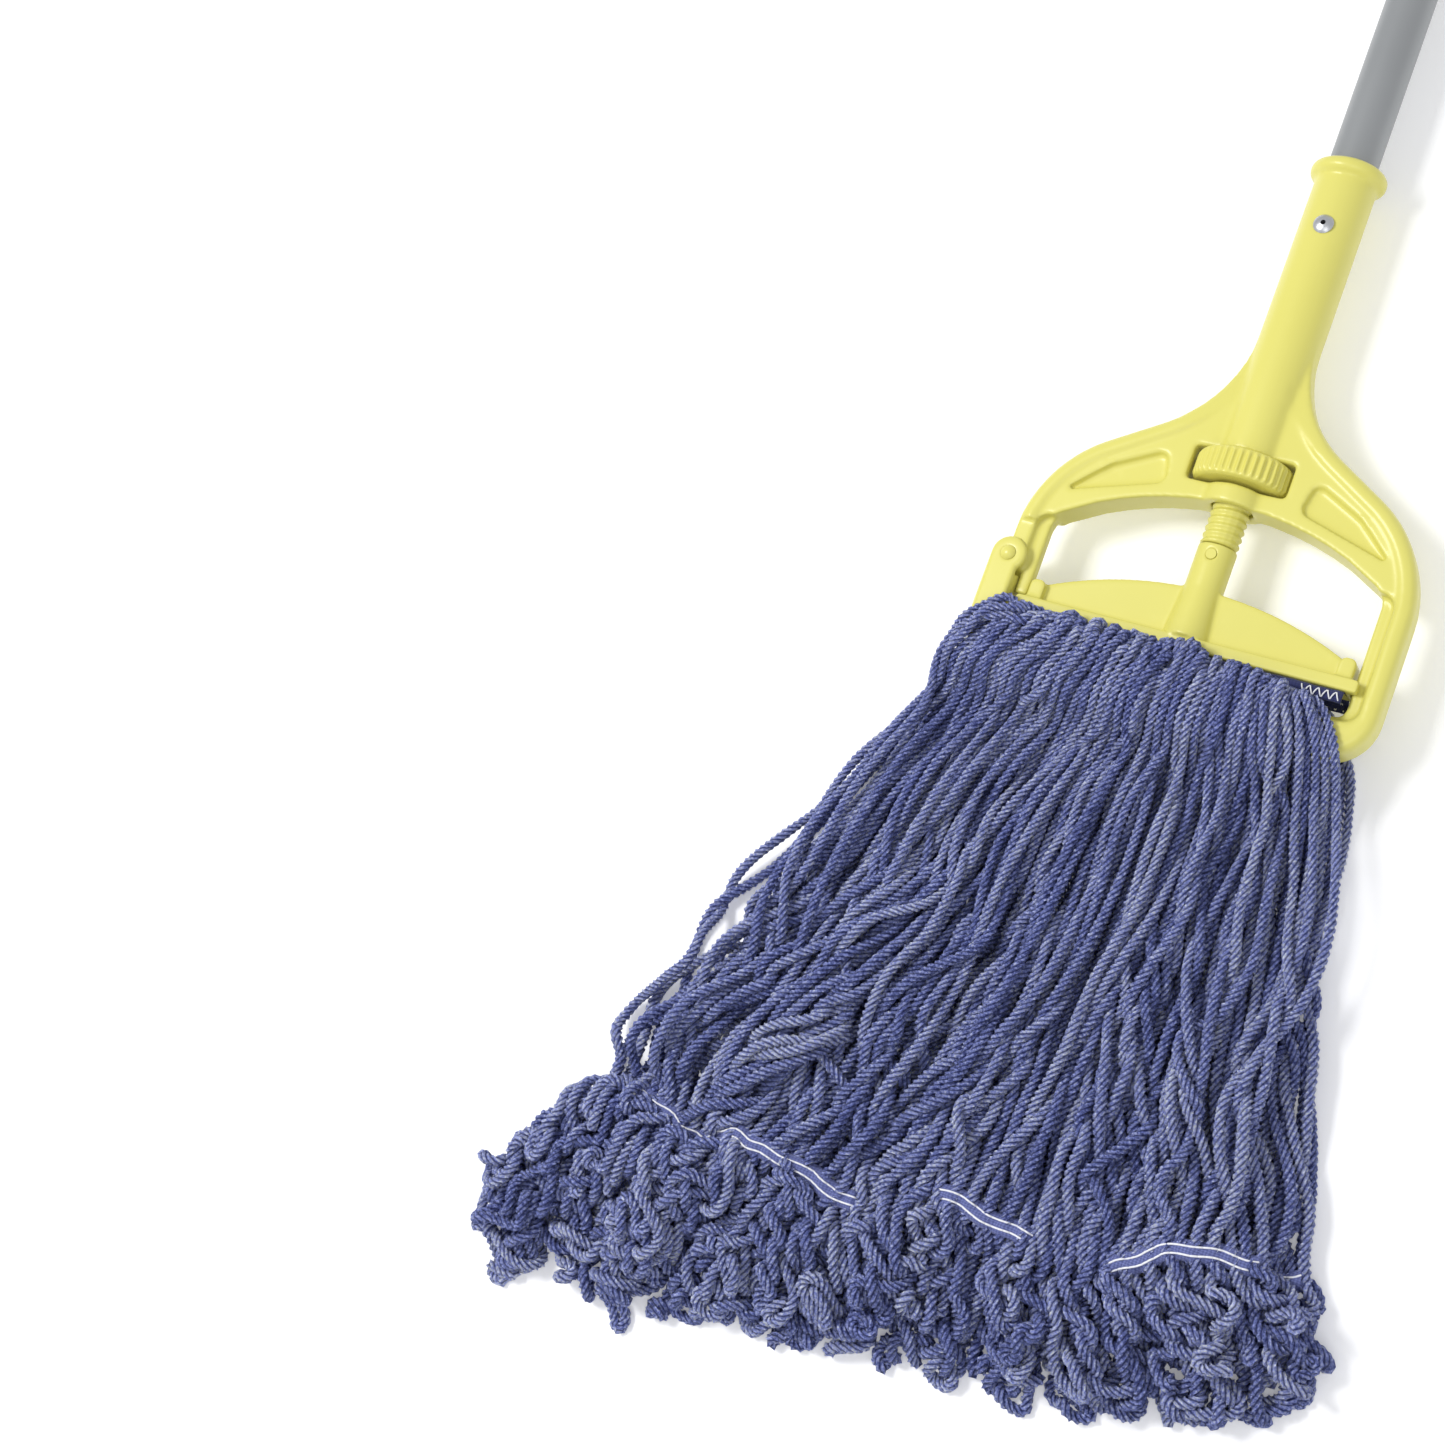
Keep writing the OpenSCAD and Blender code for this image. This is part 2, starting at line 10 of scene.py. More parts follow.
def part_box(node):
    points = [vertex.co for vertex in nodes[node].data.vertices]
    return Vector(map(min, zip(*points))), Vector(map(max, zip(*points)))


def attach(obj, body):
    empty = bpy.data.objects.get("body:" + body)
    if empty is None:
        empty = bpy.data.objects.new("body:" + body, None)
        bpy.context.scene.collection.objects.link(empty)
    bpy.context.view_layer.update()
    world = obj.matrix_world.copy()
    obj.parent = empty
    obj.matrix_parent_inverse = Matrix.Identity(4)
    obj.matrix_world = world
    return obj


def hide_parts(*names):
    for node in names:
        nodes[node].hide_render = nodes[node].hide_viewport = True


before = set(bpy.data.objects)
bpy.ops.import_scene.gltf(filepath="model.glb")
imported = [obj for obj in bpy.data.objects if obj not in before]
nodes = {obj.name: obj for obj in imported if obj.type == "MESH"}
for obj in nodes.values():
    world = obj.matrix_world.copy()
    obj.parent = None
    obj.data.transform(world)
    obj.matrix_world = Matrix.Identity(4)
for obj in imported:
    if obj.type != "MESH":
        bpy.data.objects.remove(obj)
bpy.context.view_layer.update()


# ---- Camera and light ----
# The mop is seen from above the fringe end and to the right, close enough that
# the handle runs out of the picture.
camera_place = Vector((0.3035, -0.2470, 1.0904))
look_along = Vector((-0.4453, 0.1218, -0.8871))
picture_up = Vector((-0.2625, 0.9295, 0.2594))
picture_px = 1445
focal_px = 2200
sensor_mm = 36.0

camera_data = bpy.data.cameras.new("camera")
camera_data.sensor_width = sensor_mm
camera_data.lens = sensor_mm * focal_px / picture_px
camera_data.clip_start = 0.01
camera = bpy.data.objects.new("camera", camera_data)
bpy.context.scene.collection.objects.link(camera)
view_z = -look_along.normalized()
view_x = picture_up.cross(view_z).normalized()
view_y = view_z.cross(view_x)
camera_turn = Matrix((view_x, view_y, view_z)).transposed().to_4x4()
camera.matrix_world = Matrix.Translation(camera_place) @ camera_turn
bpy.context.scene.camera = camera

world = bpy.data.worlds.new("studio")
world.use_nodes = True
world.node_tree.nodes["Background"].inputs["Color"].default_value = (0.96, 0.97, 1.0, 1)
world.node_tree.nodes["Background"].inputs["Strength"].default_value = 0.66
bpy.context.scene.world = world
bpy.context.scene.view_settings.view_transform = "Standard"
bpy.context.scene.view_settings.look = "None"


def soft_light(name, place, target, size, watts):
    """A square softbox aimed at a point."""
    light = bpy.data.lights.new(name, "AREA")
    light.shape = "SQUARE"
    light.size = size
    light.energy = watts
    holder = bpy.data.objects.new(name, light)
    bpy.context.scene.collection.objects.link(holder)
    aim = Vector(target) - Vector(place)
    holder.matrix_world = Matrix.Translation(place) @ aim.to_track_quat("-Z", "Y").to_matrix().to_4x4()


soft_light("key_light", (-0.85, -0.05, 1.6), (0, -0.1, 0), 0.5, 19)
soft_light("fill_light", (0.7, -0.6, 1.7), (0, -0.1, 0), 1.0, 5)


# ---- How finishes are written ----
# Every surface below is a small set of shader nodes. Wire lets their values be
# added and multiplied as plain sums, and Finish holds one material.
class Wire:
    """A shader socket that can be used in sums: wire * 2 + 1 adds the Math nodes."""

    def __init__(self, tree, socket):
        self.tree = tree
        self.socket = socket

    def math(self, operation, other, swapped=False):
        pair = (other, self) if swapped else (self, other)
        return self.tree.node("ShaderNodeMath", {"operation": operation}, {0: pair[0], 1: pair[1]})

    def __add__(self, other):
        return self.math("ADD", other)

    __radd__ = __add__

    def __sub__(self, other):
        return self.math("SUBTRACT", other)

    def __rsub__(self, other):
        return self.math("SUBTRACT", other, True)

    def __mul__(self, other):
        return self.math("MULTIPLY", other)

    __rmul__ = __mul__


class Finish:
    """One material, built from its nodes by name."""

    def __init__(self, name):
        self.material = bpy.data.materials.new(name)
        self.material.use_nodes = True
        self.nodes = self.material.node_tree.nodes
        self.links = self.material.node_tree.links
        self.shader = self.nodes["Principled BSDF"]

    def node(self, kind, settings=(), inputs=(), output=0):
        """Adds a node, with its settings first and then the values or wires of its sockets."""
        made = self.nodes.new(kind)
        for key, value in dict(settings).items():
            if key == "stops":
                for extra in range(len(value) - 2):
                    made.color_ramp.elements.new(0.5)
                for element, (place, colour) in zip(made.color_ramp.elements, value):
                    element.position = place
                    element.color = (*colour, 1)
            else:
                setattr(made, key, value)
        for key, value in dict(inputs).items():
            self.feed(made.inputs[key], value)
        return Wire(self, made.outputs[output])

    def feed(self, socket, value):
        if isinstance(value, Wire):
            self.links.new(value.socket, socket)
        elif isinstance(value, tuple) and socket.type == "RGBA":
            socket.default_value = (*value, 1)
        else:
            socket.default_value = value

    def set(self, **sockets):
        """Feeds the surface shader's sockets, named with underscores for spaces."""
        for key, value in sockets.items():
            self.feed(self.shader.inputs[key.replace("_", " ")], value)
        return self.material

    def noise(self, scale, detail=2.0, place=None, roughness=0.5):
        if place is None:
            place = self.node("ShaderNodeTexCoord", output="Object")
        return self.node("ShaderNodeTexNoise", {}, {"Vector": place, "Scale": scale, "Detail": detail,
                                                    "Roughness": roughness})

    def blend(self, share, low, high):
        """A colour between two, by a share from 0 to 1."""
        return self.node("ShaderNodeMix", {"data_type": "RGBA"}, {0: share, 6: low, 7: high}, 2)

    def ramp(self, value, stops):
        return self.node("ShaderNodeValToRGB", {"stops": stops}, {0: value})

    def bump(self, height, strength, distance, normal=None):
        inputs = {"Height": height, "Strength": strength, "Distance": distance}
        if normal is not None:
            inputs["Normal"] = normal
        return self.node("ShaderNodeBump", {}, inputs)


# ---- Floor ----
# A plain pale studio floor that the mop lies on.
floor_mesh = bpy.data.meshes.new("floor")
floor_shape = bmesh.new()
bmesh.ops.create_grid(floor_shape, x_segments=1, y_segments=1, size=6)
floor_shape.to_mesh(floor_mesh)
floor_shape.free()
floor = bpy.data.objects.new("floor", floor_mesh)
bpy.context.scene.collection.objects.link(floor)
floor_finish = Finish("floor")
floor_tone = floor_finish.blend(floor_finish.noise(3.0), (0.90, 0.90, 0.90), (0.93, 0.93, 0.93))
floor.data.materials.append(floor_finish.set(Base_Color=floor_tone, Roughness=0.7, Specular_IOR_Level=0.2,
                                               Emission_Color=(1.0, 1.0, 1.0), Emission_Strength=0.2))


# ---- Handle: tube, end cap and rivets ----
# A drawn aluminium tube with a thin satin grey coat, a pushed-in plastic end cap
# with a hanging hole, and steel blind rivets through the holder's socket.
tube_finish = Finish("coated_tube")
tube_place = tube_finish.node("ShaderNodeTexCoord", output="Object")
drawn_place = tube_finish.node("ShaderNodeMapping", {}, {"Vector": tube_place, "Scale": (1.0, 0.02, 1.0)})
drawn = tube_finish.noise(1400, 2.0, drawn_place)
cloudy = tube_finish.noise(16, 3.0)
tube_finish.set(Base_Color=tube_finish.blend(cloudy, (0.27, 0.28, 0.285), (0.32, 0.33, 0.335)),
                Metallic=0.35, Roughness=drawn * 0.12 + 0.36, Normal=tube_finish.bump(drawn, 0.08, 0.0002))
nodes["handle_tube"].data.materials.clear()
nodes["handle_tube"].data.materials.append(tube_finish.material)

cap_finish = Finish("dark_cap")
cap_grain = cap_finish.noise(900, 3.0)
cap_finish.set(Base_Color=cap_finish.blend(cap_finish.noise(30), (0.03, 0.032, 0.035), (0.05, 0.052, 0.055)),
               Roughness=cap_grain * 0.2 + 0.45, Normal=cap_finish.bump(cap_grain, 0.2, 0.0003))
nodes["handle_end_cap"].data.materials.clear()
nodes["handle_end_cap"].data.materials.append(cap_finish.material)

rivet_finish = Finish("rivet_steel")
rivet_grain = rivet_finish.noise(2200, 2.0)
rivet_tone = rivet_finish.blend(rivet_finish.noise(400), (0.50, 0.51, 0.53), (0.66, 0.67, 0.69))
rivet_finish.set(Base_Color=rivet_tone, Metallic=1.0, Roughness=rivet_grain * 0.2 + 0.22,
                 Normal=rivet_finish.bump(rivet_grain, 0.15, 0.0002))
# The mandrel stubs are coloured near-black: painted shade for the hollow bore of each rivet head.
mandrel_finish = Finish("broken_mandrel")
mandrel_grain = mandrel_finish.noise(1800, 3.0)
mandrel_finish.set(Base_Color=mandrel_finish.blend(mandrel_grain, (0.02, 0.02, 0.022), (0.10, 0.10, 0.11)),
                   Metallic=0.7, Roughness=0.5, Normal=mandrel_finish.bump(mandrel_grain, 0.5, 0.0003))
for node_name, finish, slot in (("socket_rivets", rivet_finish, "rivet_steel"),
                                ("rivet_mandrels", mandrel_finish, "mandrel_steel")):
    nodes[node_name].data.materials.clear()
    nodes[node_name].data.materials.append(finish.material)


# ---- Holder: yoke, gate, clamp bar, screw and thumb wheel ----
# All are injection-moulded in one pale yellow plastic with softly rounded edges.
# The gate swings on a pin, and the wheel on the screw draws the clamp bar up.
def plastic_finish(name, low, high, roughness):
    finish = Finish(name)
    flow = finish.noise(14, 3.0)
    grain = finish.noise(1500, 3.0, None, 0.6)
    scuff = finish.noise(120, 4.0, None, 0.7)
    marks = finish.ramp(scuff, [(0.60, (0.0, 0.0, 0.0)), (0.74, (1.0, 1.0, 1.0))])
    colour = finish.blend(flow * 0.8 + marks * 0.12, low, high)
    finish.set(Base_Color=colour, Roughness=grain * 0.16 + marks * 0.1 + roughness,
               Normal=finish.bump(grain * 0.6 + flow * 1.5, 0.12, 0.0005), Specular_IOR_Level=0.5)
    return finish.material


plastic = plastic_finish("yellow_plastic", (0.66, 0.615, 0.135), (0.72, 0.675, 0.175), 0.24)
wheel_plastic = plastic_finish("wheel_plastic", (0.66, 0.605, 0.120), (0.72, 0.665, 0.155), 0.22)


def softened(name, node_name, body, voxel, passes, kept, material):
    """A CAD part's own shape in one clean skin, with the soft edges of a moulding."""
    mesh = nodes[node_name].data.copy()
    shape = bmesh.new()
    shape.from_mesh(mesh)
    bmesh.ops.remove_doubles(shape, verts=shape.verts, dist=1e-5)
    shape.to_mesh(mesh)
    shape.free()
    rough = bpy.data.objects.new(name + "_rough", mesh)
    bpy.context.scene.collection.objects.link(rough)
    skin = rough.modifiers.new("skin", "REMESH")
    skin.mode = "VOXEL"
    skin.voxel_size = voxel
    soften = rough.modifiers.new("soften", "SMOOTH")
    soften.factor = 0.5
    soften.iterations = passes
    thin = rough.modifiers.new("thin", "DECIMATE")
    thin.ratio = kept
    bpy.context.view_layer.update()
    made = bpy.data.meshes.new_from_object(rough.evaluated_get(bpy.context.evaluated_depsgraph_get()))
    bpy.data.objects.remove(rough)
    made.name = name
    made.materials.clear()
    made.materials.append(material)
    made.polygons.foreach_set("use_smooth", [True] * len(made.polygons))
    piece = bpy.data.objects.new(name, made)
    bpy.context.scene.collection.objects.link(piece)
    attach(piece, body)
    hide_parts(node_name)
    return piece


softened("moulded_yoke", "yoke", "holder", 0.0011, 6, 0.6, plastic)
softened("moulded_gate", "gate", "gate", 0.0007, 8, 0.5, plastic)
softened("moulded_clamp_bar", "clamp_bar", "clamp", 0.0008, 5, 0.5, plastic)
softened("ribbed_wheel", "thumb_wheel", "wheel", 0.0005, 4, 0.5, wheel_plastic)
softened("threaded_screw", "clamp_screw", "clamp", 0.0005, 8, 0.5, plastic)
for node_name in ("gate_hinge_pin", "screw_cross_pin"):
    nodes[node_name].data.materials.clear()
    nodes[node_name].data.materials.append(plastic)


# ---- Headband ----
# A dark blue woven tape folded over the middle of the yarn and stitched through.
# The clamp bar presses it down onto the bottom bar; its right end shows.
band_low, band_high = (np.array(corner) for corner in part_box("headband"))
band_size = band_high - band_low
band_profile = np.array([(0.0, -0.0002), (0.0, 0.0035), (0.0008, 0.0056), (0.003, 0.0063), (0.0068, 0.0064),
                         (0.0105, 0.0063), (0.0140, 0.0063), (0.0172, 0.0063), (0.0192, 0.0056),
                         (0.02, 0.0035), (0.02, -0.0002)])
band_steps = 84
band_shape = bmesh.new()
bmesh.ops.create_grid(band_shape, x_segments=band_steps, y_segments=len(band_profile) - 1, size=0.5)
for vert in band_shape.verts:
    step = round((vert.co.x + 0.5) * band_steps)
    z, y = band_profile[round((vert.co.y + 0.5) * (len(band_profile) - 1))]
    sag = 0.0004 * math.sin(step * 0.55) + 0.0003 * math.sin(step * 1.7)
    vert.co = (band_low[0] - 0.0015 + (band_size[0] + 0.003) * step / band_steps,
               band_low[1] + y + 0.25 * sag, band_low[2] + z + (z - 0.01) * 40 * sag)
bmesh.ops.solidify(band_shape, geom=band_shape.faces[:], thickness=0.0008)
bmesh.ops.recalc_face_normals(band_shape, faces=band_shape.faces[:])
band_mesh = bpy.data.meshes.new("headband_tape")
band_shape.to_mesh(band_mesh)
band_shape.free()
band_mesh.polygons.foreach_set("use_smooth", [True] * len(band_mesh.polygons))
headband_tape = bpy.data.objects.new("headband_tape", band_mesh)
bpy.context.scene.collection.objects.link(headband_tape)


def tape_finish(name, dark, light):
    """Plain-woven tape: fine ribs across and along it."""
    finish = Finish(name)
    place = finish.node("ShaderNodeTexCoord", output="Object")
    across = finish.node("ShaderNodeTexWave", {"bands_direction": "X"}, {"Vector": place, "Scale": 190.0,
                         "Distortion": 1.5, "Detail": 2.0, "Detail Scale": 3.0})
    along_it = finish.node("ShaderNodeTexWave", {"bands_direction": "Y"}, {"Vector": place, "Scale": 260.0,
                           "Distortion": 1.5, "Detail": 2.0, "Detail Scale": 3.0})
    weave = across * 0.5 + along_it * 0.5
    lint = finish.noise(1500, 3.0, None, 0.7)
    colour = finish.blend(weave * 0.45 + lint * 0.6 - 0.1, dark, light)
    finish.set(Base_Color=colour, Roughness=0.9, Sheen_Weight=0.25, Sheen_Roughness=0.5,
               Sheen_Tint=(0.7, 0.75, 1.0), Normal=finish.bump(weave * 0.6 + lint * 0.6, 0.5, 0.0004))
    return finish.material


headband_weave = tape_finish("headband_weave", (0.008, 0.010, 0.055), (0.035, 0.045, 0.16))
headband_tape.data.materials.append(headband_weave)


def thread_finish():
    """White sewing thread with a fine twist."""
    finish = Finish("white_thread")
    lint = finish.noise(2500, 2.0)
    finish.set(Base_Color=finish.blend(lint, (0.74, 0.75, 0.80), (0.95, 0.95, 0.96)), Roughness=0.7,
               Sheen_Weight=0.2, Normal=finish.bump(lint, 0.4, 0.0002))
    return finish.material


thread_material = thread_finish()


def sewn(name, stitches, thick):
    """Stitches of thread, each a short arch through the given points."""
    curve = bpy.data.curves.new(name, "CURVE")
    curve.dimensions = "3D"
    curve.bevel_depth = thick
    curve.bevel_resolution = 1
    curve.use_fill_caps = True
    for stitch in stitches:
        spline = curve.splines.new("POLY")
        spline.points.add(len(stitch) - 1)
        for point, place in zip(spline.points, stitch):
            point.co = (*place, 1)
        spline.use_smooth = True
    swept = bpy.data.objects.new(name + "_curve", curve)
    bpy.context.scene.collection.objects.link(swept)
    bpy.context.view_layer.update()
    mesh = bpy.data.meshes.new_from_object(swept.evaluated_get(bpy.context.evaluated_depsgraph_get()))
    bpy.data.objects.remove(swept)
    mesh.name = name
    mesh.materials.clear()
    mesh.materials.append(thread_material)
    piece = bpy.data.objects.new(name, mesh)
    bpy.context.scene.collection.objects.link(piece)
    return piece


zigzag = []
zigzag_step = 0.0021
zigzag_low, zigzag_high = band_low[1] + 0.0008, band_high[1] - 0.0016
zigzag_runs = ((band_low[0] + 0.001, band_low[0] + 0.011), (band_high[0] - 0.019, band_high[0] + 0.0005))
for face, out in ((band_high[2], 1), (band_low[2], -1)):
    for start, end in zigzag_runs:
        count = int((end - start) / zigzag_step)
        for i in range(count):
            a = start + (end - start) * i / count
            b = a + 0.8 * (end - start) / count
            y0, y1 = (zigzag_low, zigzag_high) if i % 2 else (zigzag_high, zigzag_low)
            zigzag.append([(a, y0, face - out * 0.0002),
                           (a * 0.7 + b * 0.3, y0 * 0.7 + y1 * 0.3, face + out * 0.0009),
                           (a * 0.3 + b * 0.7, y0 * 0.3 + y1 * 0.7, face + out * 0.0009),
                           (b, y1, face - out * 0.0002)])
headband_thread = sewn("headband_thread", zigzag, 0.00034)
for piece, node_name, slot in ((headband_tape, "headband", "tape"),
                               (headband_thread, "headband_stitches", "thread")):
    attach(piece, "holder")
    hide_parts(node_name)


# ---- Yarn ----
# Four-ply blended yarn. Every length runs from the headband, over the bottom bar
# and down to the tail band, out into a loop of the fringe, and back the same
# way. Three layers hang on each side of the bar; here they lie on the floor.
# Sizes in this section are in millimetres until the curves are made.
random = np.random.default_rng(11)
mm = 0.001
strand_r = 2.4                 # where the yarn is taut, at the bar
fluffed_r = 3.1                # where it has relaxed, in the fringe
twist_lay = 15.0               # length of one turn of the four plies
node_gap = 5.0                 # spacing of the points that settle
layers = 3
strands_across = 38


def box_mm(name):
    low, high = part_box(name)
    return np.array(low) / mm, np.array(high) / mm


gate_low, gate_high = box_mm("gate")
yoke_low, yoke_high = box_mm("yoke")
clamp_low, clamp_high = box_mm("clamp_bar")
tape_low, tape_high = box_mm("headband")
back_top = box_mm("yarn_back")[1][2]
axis_z = (tape_low[2] + tape_high[2]) / 2
bar_y = yoke_low[1]
face_z = gate_high[2]
under_z = gate_low[2]

# Where the two tail bands lie, from the left end to the right: x, y, z.
front_tail = np.array([(-205, -301, 24), (-171, -309, 30), (-148, -311, 33), (-131, -303, 40),
                       (-107, -306, 35), (-67, -313, 31), (-43, -303, 33), (-19, -292, 38),
                       (22, -297, 33), (46, -299, 30), (70, -294, 31), (99, -274, 40),
                       (134, -270, 24)], float)
back_tail = np.array([(-228, -312, 9), (-130, -322, 12), (-30, -314, 10), (70, -298, 12),
                      (150, -268, 8)], float)


def along(knots, t):
    """Smooth curve through knots, at t from 0 to 1."""
    t = np.clip(np.atleast_1d(t), 0, 1) * (len(knots) - 1)
    i = np.minimum(t.astype(int), len(knots) - 2)
    f = (t - i)[:, None]
    k = np.vstack([2 * knots[0] - knots[1], knots, 2 * knots[-1] - knots[-2]])
    a, b, c, d = k[i], k[i + 1], k[i + 2], k[i + 3]
    return b + 0.5 * f * (c - a + f * (2 * a - 5 * b + 4 * c - d + f * (3 * (b - c) + d - a)))


def respaced(path, gap):
    """The same line with points a given distance apart."""
    run = np.concatenate([[0], np.cumsum(np.linalg.norm(np.diff(path, axis=0), axis=1))])
    n = max(2, int(round(run[-1] / gap)) + 1)
    at = np.linspace(0, run[-1], n)
    return np.column_stack([np.interp(at, run, path[:, k]) for k in range(3)]), run


def mix(a, b, t):
    return a + (b - a) * t


# How high the yarn stands over the clamp bar, from the left end to the right.
crest_at = (0.0, 0.2, 0.4, 0.58, 0.68, 0.85, 0.93, 1.0)
crest_y = (5.0, 9.0, 9.5, 11.0, 5.5, 4.0, 0.0, -8.5)


def hanging_leg(front, s, layer, tail_point, group_phase):
    """One strand from inside the headband to its tail band, before it settles."""
    bunch = 1.6 * math.sin(23 * s + 2 * layer) + 1.2 * math.sin(51 * s + layer) + random.normal(0, 0.9)
    x_jaw = mix(tape_low[0] + 3, tape_high[0] - 13, s) + bunch
    x_edge = mix(gate_low[0] + 1, tape_high[0] - 2, s) + 1.5 * bunch
    if front:
        crest = np.interp(s, crest_at, crest_y) - 2.2 * (layers - 1 - layer) + random.normal(0, 1.2)
        over = face_z + strand_r + 5.0 * layer + random.uniform(0, 1.5)
        rest = back_top - 2 + strand_r + 4.6 * layer
        head = [(x_jaw, -9.5, axis_z + 3), (x_jaw, -10.5, axis_z + 8),
                (x_jaw, min(-8, crest - 1), face_z - 1), (x_jaw, crest, over),
                (mix(x_jaw, x_edge, 0.4), crest - 9, over + 0.8),
                (x_edge, bar_y + 4, over), (x_edge, bar_y - 8, over - 2)]
        fall = [(0.12, mix(over, rest, 0.45)), (0.26, mix(over, rest, 0.85)), (0.42, rest),
                (0.6, rest), (0.8, mix(rest, tail_point[2], 0.5))]
    else:
        depth = layers - 1 - layer
        over = under_z - strand_r - 5.0 * depth
        rest = strand_r + 5.0 * layer
        x_edge += 6 * s ** 3
        head = [(x_jaw, -8, axis_z - 4), (x_jaw, -7, axis_z - 9), (x_jaw, -5, under_z + 1),
                (x_jaw, -3 + 2 * depth, over + 1), (mix(x_jaw, x_edge, 0.4), -10, over - 0.5),
                (x_edge, bar_y + 4, over), (x_edge, bar_y - 8, over)]
        fall = [(0.15, over), (0.3, mix(over, rest, 0.6)), (0.45, rest), (0.8, rest)]
    start = np.array(head[-1], float)
    body = [(*mix(start, tail_point, f)[:2], z) for f, z in fall]
    bow = (body[0][0] - start[0]) * 0.25
    path = np.array(head + body + [tuple(tail_point)], float)
    path = along(path, np.linspace(0, 1, 160))
    down = np.clip((bar_y - path[:, 1]) / (bar_y - tail_point[1]), 0, 1)
    hold = np.sin(np.pi * down) ** 0.7
    slack = np.clip((down - 0.25) / 0.35, 0, 1) * np.clip((1 - down) / 0.1, 0, 1)
    drift, sway = random.normal(0, 6.0), random.normal(0, 4.0)
    waves = random.uniform(1.7, 3.3)
    turn = group_phase + random.normal(0, 0.7)
    amplitude = random.uniform(4.0, 13.0)
    if not front and s > 0.93:
        drift, amplitude = random.uniform(-6, 5), random.uniform(6, 12)
    wiggle = random.uniform(7, 11)
    bundle = 2 * np.pi * 11 * s + 3 * math.sin(9 * s) + 4.5 * down
    gathered = np.clip(down / 0.1, 0, 1) * np.clip((1 - down) / 0.2, 0, 1)
    path[:, 0] += 6.2 * gathered * np.sin(bundle)
    path[:, 2] += (8.0 if front else 1.5) * gathered * (1 - np.cos(bundle)) / 2
    path[:, 0] += slack * random.uniform(0.2, 0.9) * np.sin(2 * np.pi * wiggle * down + 3 * turn)
    path[:, 2] += slack * random.uniform(0.2, 0.9) * np.cos(2 * np.pi * wiggle * down + 2 * turn)
    if s < 0.45:
        amplitude *= 1.8
        drift *= 1.5
    bulge = np.exp(-((down - 0.72) / 0.2) ** 2) + np.exp(-((down - 0.25) / 0.2) ** 2)
    bulge *= 9 * max(0.0, 1 - s / 0.3)
    bow *= 1 - 1.6 * max(0.0, s - 0.5)
    bulge += 9 * np.exp(-((down - 0.6) / 0.3) ** 2) * max(0.0, s - 0.7) / 0.3
    path[:, 0] += hold * (drift * np.sin(np.pi * down) + sway * np.sin(2 * np.pi * down)) + bow * hold - bulge
    path[:, 0] += slack * amplitude * np.sin(2 * np.pi * waves * down + turn)
    path[:, 2] += slack * 0.6 * amplitude * (1 + np.sin(2 * np.pi * waves * 1.3 * down + 2 * turn))
    return path


# How far the fringe reaches beyond its band, from the left end to the right.
fringe_at = (0.0, 0.12, 0.3, 0.5, 0.75, 1.0)
fringe_reach = (120, 116, 84, 72, 66, 60)


def fringe_loop(front, start, end, s):
    """The loop beyond the tail band: two wavering legs, some twisted together, then a bend."""
    heading = math.radians(mix(-146, -52 if front else -80, s ** 0.8) + random.normal(0, 12))
    if s < 0.16:
        heading = math.radians(random.uniform(-156, -98))
    out = np.array([math.cos(heading), math.sin(heading), 0])
    side = np.array([-out[1], out[0], 0])
    up = np.array([0, 0, 1.0])
    share = random.uniform(0.74, 0.97) if random.random() < 0.7 else random.uniform(0.4, 0.75)
    length = np.interp(s, fringe_at, fringe_reach) * share
    t = np.linspace(0, 1, 90)
    middle = (start + end) / 2
    rest = random.uniform(8, 42) if front else random.uniform(4, 16)
    ramp = np.clip(t / 0.2, 0, 1)
    curl = random.uniform(6, 13) if s < 0.6 else random.uniform(4, 9)
    turns = length / random.uniform(24, 40)
    phase = random.uniform(0, 2 * np.pi)
    way = random.choice([1, -1])
    line = middle + np.outer(t * length, out)
    line[:, 2] = mix(middle[2], rest, np.clip(t * 1.3, 0, 1) ** 1.4)
    line += np.outer(ramp * curl * np.sin(way * 2 * np.pi * turns * t + phase), side)
    line += np.outer(ramp * 0.9 * curl * (1 + np.cos(2 * np.pi * turns * t + phase)), up)
    half_gap = np.linalg.norm(end - start) / 2
    wide = random.uniform(1.0, 2.1) * fluffed_r
    spread = mix(half_gap, wide, np.clip(t / 0.3, 0, 1))
    twist = random.uniform(0.6, 1.2) if random.random() < 0.35 else random.uniform(0.1, 0.5)
    spin = way * twist * length / 28 * 2 * np.pi * np.clip((t - 0.08) / 0.85, 0, 1)
    apart = (end - start) / (2 * half_gap)
    offset = np.outer(np.cos(spin) * spread, apart) + np.outer(np.sin(spin) * spread, up)
    legs = []
    for sign in (-1, 1):
        size, pace, lean = random.uniform(2, 5.5), length / random.uniform(15, 26), random.uniform(0, 6.28)
        waver = ramp * np.clip((1 - t) / 0.15, 0, 1) * size
        legs.append(line + sign * offset + np.outer(waver * np.sin(2 * np.pi * pace * t + lean), side)
                    + np.outer(waver * np.cos(2 * np.pi * pace * t + 1.7 * lean), up))
    tip = line[-1] - line[-4]
    tip /= np.linalg.norm(tip)
    bend = np.linspace(0, np.pi, 10)[1:-1]
    radius = spread[-1]
    cross = offset[-1] / np.linalg.norm(offset[-1])
    cap = line[-1] + radius * (np.outer(np.sin(bend), tip) - np.outer(np.cos(bend), cross))
    return np.vstack([legs[0], cap, legs[1][::-1]])


